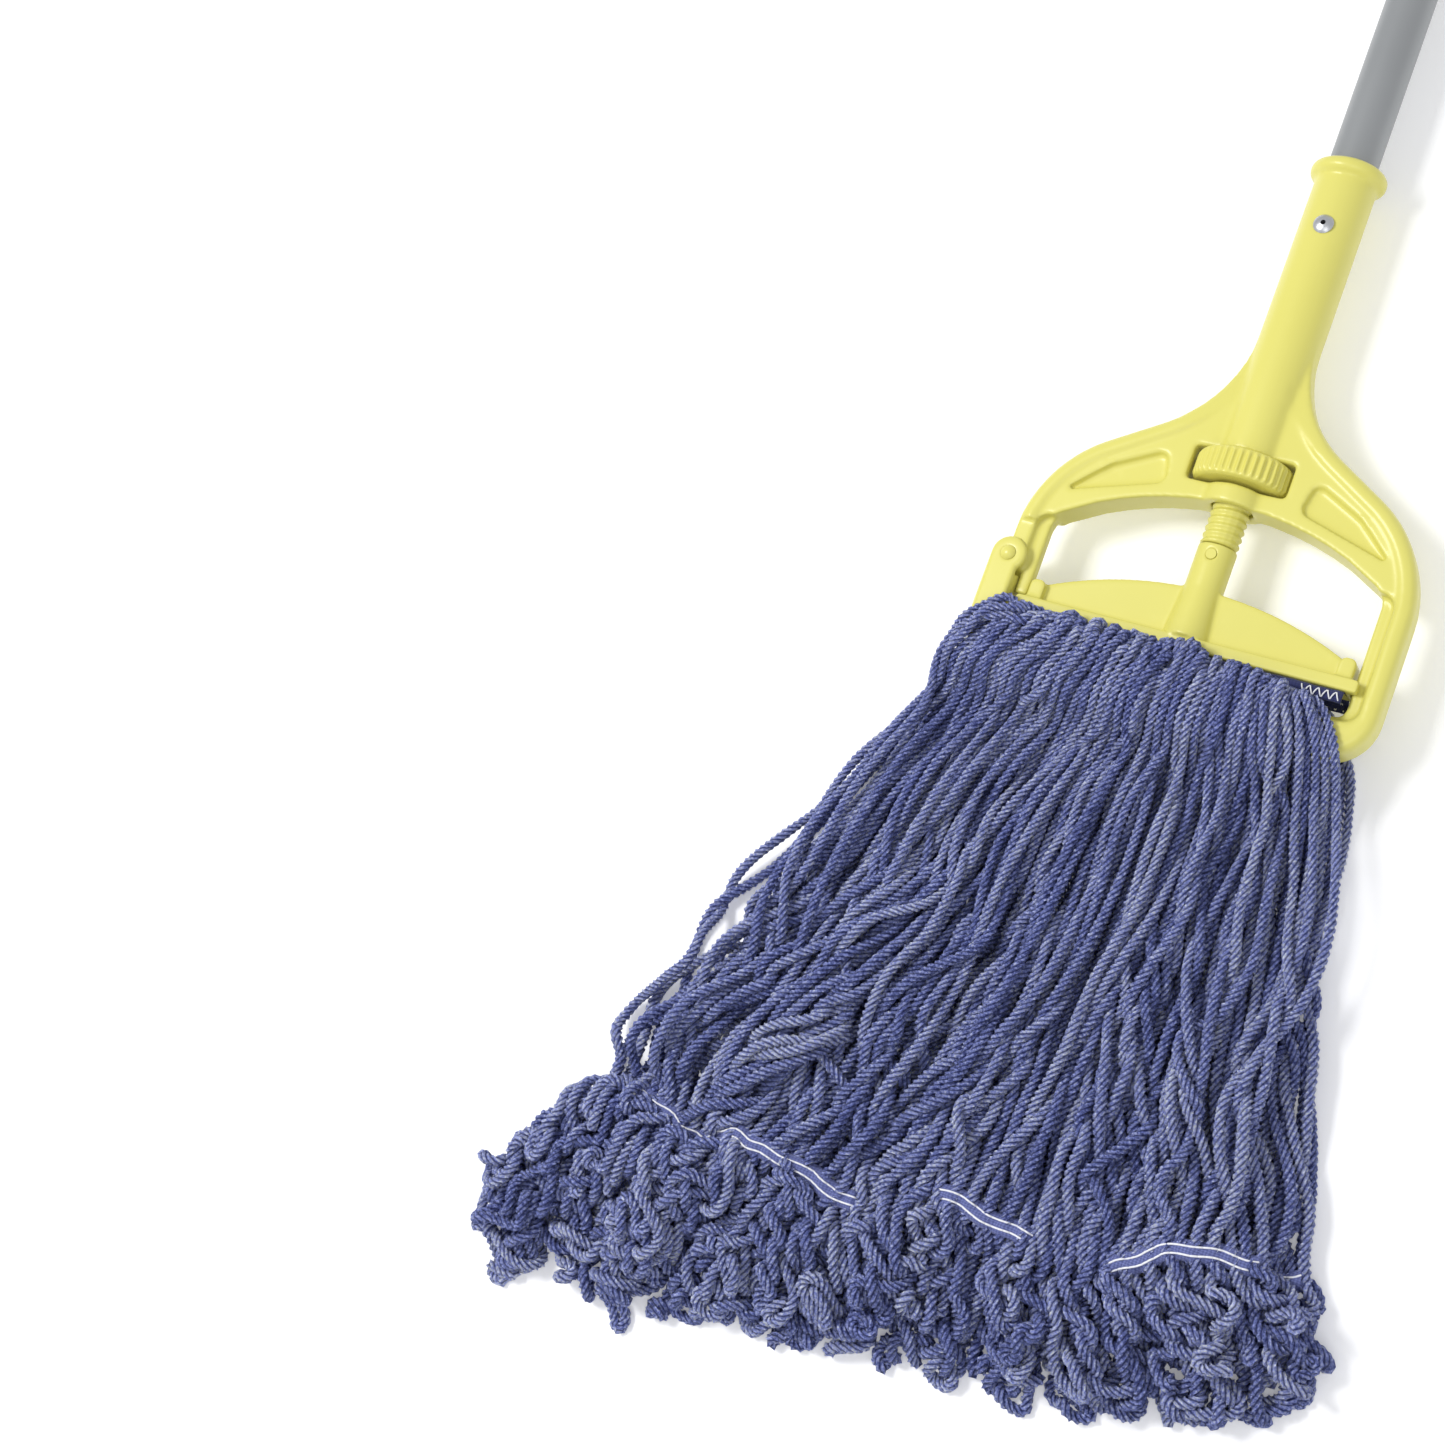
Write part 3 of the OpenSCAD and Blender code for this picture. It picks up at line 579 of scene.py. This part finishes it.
def make_loops(front):
    """All the loops of one half: their points, and where their tail band holds them."""
    knots = front_tail if front else back_tail
    count = layers * strands_across
    loops = []
    for layer in range(layers):
        for pair in range(strands_across // 2):
            legs, places = [], []
            for leg in (2 * pair, 2 * pair + 1):
                order = layers * leg + layer
                s = (leg + 0.5 + 0.33 * (layer - 1) + random.normal(0, 0.15)) / strands_across
                held = along(knots, (order + 0.5) / count)[0]
                held[2] += fluffed_r * 0.95 * (1 if order % 2 else -1)
                phase = 1.3 * math.sin(7.0 * s + layer) + 5.0 * s
                legs.append(hanging_leg(front, np.clip(s, 0.01, 0.99), layer, held, phase))
                places.append(held)
            fringe = fringe_loop(front, places[0], places[1], (2 * pair + 1) / strands_across)
            path = np.vstack([legs[0], fringe[1:-1], legs[1][::-1]])
            points, run = respaced(path, node_gap)
            holds = [run[len(legs[0]) - 1], run[-len(legs[1])]]
            loops.append((points, [h / run[-1] * (len(points) - 1) for h in holds], run[-1]))
    return loops


def near_pairs(points, reach):
    """Index pairs of points closer than about reach, by sorting them into cells."""
    cell = np.floor((points - points.min(axis=0)) / reach).astype(np.int64) + 1
    width = cell.max(axis=0) + 2
    key = (cell[:, 0] * width[1] + cell[:, 1]) * width[2] + cell[:, 2]
    order = np.argsort(key, kind="stable")
    ranked = key[order]
    first, second = [], []
    for dx, dy, dz in ((0, 0, 0), (0, 0, 1), (0, 1, -1), (0, 1, 0), (0, 1, 1), (1, -1, -1), (1, -1, 0),
                       (1, -1, 1), (1, 0, -1), (1, 0, 0), (1, 0, 1), (1, 1, -1), (1, 1, 0), (1, 1, 1)):
        wanted = ranked + (dx * width[1] + dy) * width[2] + dz
        low = np.searchsorted(ranked, wanted, "left")
        high = np.searchsorted(ranked, wanted, "right")
        if (dx, dy, dz) == (0, 0, 0):
            low = np.arange(len(ranked)) + 1
        number = np.maximum(high - low, 0)
        a = np.repeat(np.arange(len(ranked)), number)
        b = np.arange(len(a)) - np.repeat(np.cumsum(number) - number, number) + low[a]
        first.append(order[a])
        second.append(order[b])
    first, second = np.concatenate(first), np.concatenate(second)
    near = np.sum((points[first] - points[second]) ** 2, axis=1) < reach * reach
    return first[near], second[near]


def settle(points, radius, weight, chain, pinned, solids, steps):
    """Lets the yarn fall and find room: lengths kept, no strand inside another."""
    count = len(points)
    home = points[pinned].copy()
    number = np.arange(count)
    joined = np.nonzero(chain[:-1] == chain[1:])[0]
    halves = [joined[joined % 2 == 0], joined[joined % 2 == 1]]
    inner = np.nonzero((chain[:-2] == chain[2:]))[0] + 1
    before = points.copy()
    for step in range(steps):
        if step % 6 == 0:
            a, b = near_pairs(points, 2 * fluffed_r + 3)
            apart = (chain[a] != chain[b]) | (np.abs(number[a] - number[b]) > 2)
            a, b = a[apart], b[apart]
            touch = radius[a] + radius[b]
        moved = np.clip((points - before) * 0.85, -1.5, 1.5)
        before = points.copy()
        points = points + moved
        points[:, 2] -= weight
        for repeat in range(3):
            points[inner] += 0.06 * ((points[inner - 1] + points[inner + 1]) / 2 - points[inner])
            gap = points[b] - points[a]
            far = np.sqrt(np.sum(gap * gap, axis=1)) + 1e-9
            hit = np.nonzero(far < touch)[0]
            push = gap[hit] * (0.5 * (touch[hit] / far[hit] - 1))[:, None]
            times = np.bincount(a[hit], minlength=count) + np.bincount(b[hit], minlength=count)
            for k in range(3):
                shift = (np.bincount(b[hit], push[:, k], count) - np.bincount(a[hit], push[:, k], count))
                points[:, k] += 1.4 * shift / np.maximum(times, 1)
            for half in halves:
                line = points[half + 1] - points[half]
                far = np.sqrt(np.sum(line * line, axis=1))[:, None] + 1e-9
                pull = line * (0.5 * (1 - node_gap / far))
                points[half] += pull
                points[half + 1] -= pull
            for low, high in solids:
                inside = np.all((points > low - radius[:, None]) & (points < high + radius[:, None]), axis=1)
                at = np.nonzero(inside)[0]
                down = points[at] - (low - radius[at, None])
                up = (high + radius[at, None]) - points[at]
                ways = np.hstack([down, up])
                best = np.argmin(ways, axis=1)
                amount = ways[np.arange(len(at)), best]
                axis = best % 3
                points[at, axis] += np.where(best < 3, -amount, amount)
            points[:, 2] = np.maximum(points[:, 2], radius)
            points[pinned] = home
    return points


loops = make_loops(True) + make_loops(False)
chain = np.concatenate([np.full(len(points), i) for i, (points, holds, run) in enumerate(loops)])
radius, weight, pinned, start_at = [], [], [], [0]
for points, holds, run in loops:
    index = np.arange(len(points))
    share = np.minimum(index / holds[0], (len(points) - 1 - index) / (len(points) - 1 - holds[1]))
    radius.append(np.interp(share, (0.25, 0.85, 0.95), (strand_r, 0.97 * fluffed_r, fluffed_r)))
    weight.append(np.interp(share, (0.2, 0.35, 0.9, 1.0), (0.05, 0.008, 0.008, 0.02)))
    held = (index < 4) | (index >= len(points) - 4)
    for hold in holds:
        held |= np.abs(index - hold) < 1.2
    pinned.append(held)
    start_at.append(start_at[-1] + len(points))
radius, weight, pinned = (np.concatenate(part) for part in (radius, weight, pinned))
settled = np.vstack([points for points, holds, run in loops])
bead_low = yoke_high[0] - 10
solids = [(np.array([gate_low[0], bar_y, under_z]), np.array([yoke_high[0], tape_low[1] - 6, face_z])),
          (np.array([clamp_low[0], 0.0, clamp_low[2] + 0.3]), np.array([clamp_high[0], 33, clamp_high[2]])),
          (np.array([gate_low[0], bar_y, under_z]), np.array([-bead_low, gate_high[1], face_z])),
          (np.array([bead_low, bar_y, under_z]), np.array([yoke_high[0], 60, face_z])),
          (tape_low, tape_high)]
settled = settle(settled, radius, weight, chain, pinned, solids, 150)


# The strand's cross-section: four plies, so eight points, low in each crease.
section = bpy.data.curves.new("ply_section", "CURVE")
section.dimensions = "2D"
outline = section.splines.new("POLY")
outline.points.add(7)
outline.use_cyclic_u = True
for i, point in enumerate(outline.points):
    reach = (0.74, 1.08)[i % 2]
    angle = 2 * math.pi * i / 8
    point.co = (reach * math.cos(angle), reach * math.sin(angle), 0, 1)
section_object = bpy.data.objects.new("ply_section", section)


def yarn_piece(name, members):
    """Sweeps the four-ply section along some of the settled loops, twisting as it goes."""
    curve = bpy.data.curves.new(name, "CURVE")
    curve.dimensions = "3D"
    curve.bevel_mode = "OBJECT"
    curve.bevel_object = section_object
    curve.twist_mode = "MINIMUM"
    curve.use_fill_caps = True
    tints = []
    for i in members:
        line = settled[start_at[i]:start_at[i + 1]]
        for smoothing in range(2):
            line = np.vstack([line[:1], (line[:-2] + 2 * line[1:-1] + line[2:]) / 4, line[-1:]])
        line = along(line, np.linspace(0, 1, 4 * len(line)))
        line = respaced(line, twist_lay / 8)[0]
        spline = curve.splines.new("POLY")
        spline.points.add(len(line) - 1)
        place = np.linspace(0, 1, len(line))
        thick = np.interp(place, np.linspace(0, 1, start_at[i + 1] - start_at[i]),
                          radius[start_at[i]:start_at[i + 1]])
        lump = 1 + 0.05 * np.sin(place * 90 + 2.1 * i) + 0.04 * np.sin(place * 237 + 5.3 * i)
        spline.points.foreach_set("co", np.column_stack([line * mm, np.ones(len(line))]).ravel())
        spline.points.foreach_set("radius", thick * lump * mm)
        spline.points.foreach_set("tilt", np.arange(len(line)) * 2 * np.pi / 8 + i)
        spline.use_smooth = True
        tints.append(np.full(8 * (len(line) + 2), (i * 0.618) % 1))
    swept = bpy.data.objects.new(name + "_curve", curve)
    bpy.context.scene.collection.objects.link(swept)
    bpy.context.view_layer.update()
    mesh = bpy.data.meshes.new_from_object(swept.evaluated_get(bpy.context.evaluated_depsgraph_get()))
    bpy.data.objects.remove(swept)
    mesh.name = name
    tint = mesh.attributes.new("tint", "FLOAT", "POINT")
    tint.data.foreach_set("value", np.concatenate(tints))
    ply = mesh.attributes.new("ply", "FLOAT", "POINT")
    ply.data.foreach_set("value", np.arange(len(mesh.vertices)) % 2)
    piece = bpy.data.objects.new(name, mesh)
    bpy.context.scene.collection.objects.link(piece)
    return piece


def yarn_finish():
    """Heathered blue yarn: pale fibres over dark, with painted shade in the creases between the plies and a
    painted highlight on their crowns.
    """
    finish = Finish("yarn")
    uv = finish.node("ShaderNodeUVMap", {"uv_map": "UVMap"})
    around = finish.node("ShaderNodeSeparateXYZ", {}, {0: uv}, "X")
    length = finish.node("ShaderNodeSeparateXYZ", {}, {0: uv}, "Y")
    fibre_place = finish.node("ShaderNodeCombineXYZ", {}, {0: around * 16, 1: length * 260 - around * 10,
                              2: 0.0})
    fibres = finish.noise(1.0, 3.0, fibre_place, 0.65)
    ply = finish.node("ShaderNodeAttribute", {"attribute_name": "ply"}, output="Fac")
    wide = finish.noise(28, 3.0)
    fine = finish.noise(620, 4.0, None, 0.72)
    tint = finish.node("ShaderNodeAttribute", {"attribute_name": "tint"}, output="Fac")
    heather = finish.ramp(fibres * 0.6 + fine * 1.15 + wide * 0.12 + tint * 0.14 - 0.51,
                          [(0.31, (0.050, 0.065, 0.23)), (0.42, (0.185, 0.230, 0.60)),
                           (0.52, (0.39, 0.445, 0.87)), (0.66, (0.80, 0.84, 1.0))])
    # Painted shade and highlight: the ply mask darkens the colour in every crease and brightens it beyond the
    # fibre colour on every ply crown.
    shade = finish.ramp(ply, [(0.05, (0.06, 0.07, 0.15)), (0.36, (0.72, 0.73, 0.80)),
                              (0.85, (1.45, 1.45, 1.42))])
    colour = finish.node("ShaderNodeMix", {"data_type": "RGBA", "blend_type": "MULTIPLY"},
                         {0: 1.0, 6: heather, 7: shade}, 2)
    soft = finish.bump(ply, 0.6, 0.0006)
    normal = finish.bump(fibres * 0.8 + fine * 1.2, 0.9, 0.0010, soft)
    return finish.set(Base_Color=colour, Roughness=0.95, Normal=normal, Sheen_Weight=0.2,
                      Sheen_Roughness=0.4, Sheen_Tint=(0.75, 0.8, 1.0), Specular_IOR_Level=0.12)


yarn_material = yarn_finish()
per_layer = strands_across // 2
for half, first in (("front", 0), ("back", layers * per_layer)):
    quarters = np.array_split(np.arange(per_layer), 4)
    for number, quarter in enumerate(quarters):
        members = [first + layer * per_layer + pair for layer in range(layers) for pair in quarter]
        piece = yarn_piece(f"yarn_{half}_{number + 1}", members)
        piece.data.materials.append(yarn_material)
        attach(piece, "holder")
        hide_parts(f"yarn_{half}", f"fringe_{half}", "yarn_core")
bpy.data.objects.remove(section_object)


# ---- Tail bands ----
# A blue tape is sewn across each half of the yarn with two rows of white thread.
# It gathers up with the yarn, and bunches of strands hide it in places.
tail_weave = tape_finish("tail_tape_weave", (0.020, 0.026, 0.11), (0.23, 0.270, 0.60))
fine_points = np.vstack([settled, (settled[1:] + settled[:-1])[chain[1:] == chain[:-1]] / 2])
fine_radius = np.concatenate([radius, radius[1:][chain[1:] == chain[:-1]]])
fine_chain = np.concatenate([chain, chain[1:][chain[1:] == chain[:-1]]])
tail_stations = 200
tail_width = 10.4
tail_across = tail_width * np.array([-0.5, -0.35, -0.2, 0.0, 0.2, 0.35, 0.5])


def tail_surface(front, knots, hidden):
    """Rows of points across the tape, lying on top of the yarn except where strands hide it."""
    at = np.linspace(0.01, 0.99, tail_stations)
    middle = along(knots, at)
    run = np.gradient(middle[:, :2], axis=0)
    run /= np.linalg.norm(run, axis=1)[:, None]
    over = np.stack([-run[:, 1], run[:, 0]], axis=1)
    step = np.arange(tail_stations)
    wander = 1.2 * np.sin(step * 0.19) + 0.8 * np.sin(step * 0.53 + 1)
    flat_at = middle[:, None, :2] + over[:, None, :] * (tail_across[None, :, None] + wander[:, None, None])
    own = (fine_chain < len(loops) // 2) == front
    own &= np.abs(fine_points[:, 1] - middle[:, 1].mean()) < 60
    tops = np.full(flat_at.shape[:2], -1e9)
    for point, r in zip(fine_points[own], fine_radius[own]):
        reach = np.sum((flat_at - point[:2]) ** 2, axis=2)
        close = np.maximum(r * r - reach, 0)
        tops = np.where(reach < r * r, np.maximum(tops, point[2] + np.sqrt(close)), tops)
    tops = np.where(tops < 0, middle[:, 2:3], tops)
    tops = np.clip(tops, middle[:, 2:3], middle[:, 2:3] + 2.2 * fluffed_r)
    kernel = np.hanning(5)[1:-1]
    kernel /= kernel.sum()
    padded = np.pad(tops, ((1, 1), (0, 0)), mode="edge")
    smooth = np.stack([np.convolve(padded[:, k], kernel, "valid") for k in range(len(tail_across))], axis=1)
    smooth = smooth * 0.9 + smooth.mean(axis=1, keepdims=True) * 0.1 + 0.9
    pucker = 1.1 * np.sin(step * 1.3) * np.sin(step * 0.37 + 2)
    smooth += np.outer(pucker, (1.0, 0.9, 0.3, 1.3, 0.3, 0.9, 1.0))
    smooth += np.array([-2.6, -1.1, -0.2, 0.7, -0.2, -1.1, -2.6])
    sunk = np.zeros(tail_stations)
    for low, high in hidden:
        sunk = np.maximum(sunk, np.clip(np.minimum(middle[:, 0] - low, high - middle[:, 0]) / 6 + 0.5, 0, 1))
    height = mix(smooth, middle[:, 2:3] - 1.0, sunk[:, None])
    return np.concatenate([flat_at, height[:, :, None]], axis=2) * mm


def tail_band(half, knots, hidden):
    surface = tail_surface(half == "front", knots, hidden)
    shape = bmesh.new()
    bmesh.ops.create_grid(shape, x_segments=tail_stations - 1, y_segments=len(tail_across) - 1, size=0.5)
    for vert in shape.verts:
        vert.co = surface[round((vert.co.x + 0.5) * (tail_stations - 1)),
                          round((vert.co.y + 0.5) * (len(tail_across) - 1))]
    bmesh.ops.solidify(shape, geom=shape.faces[:], thickness=0.0005)
    bmesh.ops.recalc_face_normals(shape, faces=shape.faces[:])
    mesh = bpy.data.meshes.new(f"tail_tape_{half}")
    shape.to_mesh(mesh)
    shape.free()
    mesh.polygons.foreach_set("use_smooth", [True] * len(mesh.polygons))
    mesh.materials.append(tail_weave)
    tape = bpy.data.objects.new(f"tail_tape_{half}", mesh)
    bpy.context.scene.collection.objects.link(tape)
    stitches = []
    for row, column in enumerate((2, 4)):
        line = surface[:, column]
        run = np.concatenate([[0], np.cumsum(np.linalg.norm(np.diff(line, axis=0), axis=1))])
        length = 0.0036
        for i in range(int(run[-1] / length)):
            at = (i + 0.3 * row) * length + np.array([0.0, 0.25, 0.75, 1.0]) * length * 0.94
            stitch = np.column_stack([np.interp(at, run, line[:, k]) for k in range(3)])
            stitch[:, 2] += np.array([0.0001, 0.0007, 0.0007, 0.0001])
            stitches.append(stitch)
    thread = sewn(f"tail_thread_{half}", stitches, 0.00050)
    for piece, node_name, slot in ((tape, f"tail_band_{half}", "tape"),
                                   (thread, f"tail_stitches_{half}", "thread")):
        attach(piece, "holder")
        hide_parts(node_name)
    middle = surface[:, len(tail_across) // 2]
    length = float(np.linalg.norm(np.diff(middle, axis=0), axis=1).sum())


tail_band("front", front_tail, [(-62, -24), (27, 64)])
tail_band("back", back_tail, [])
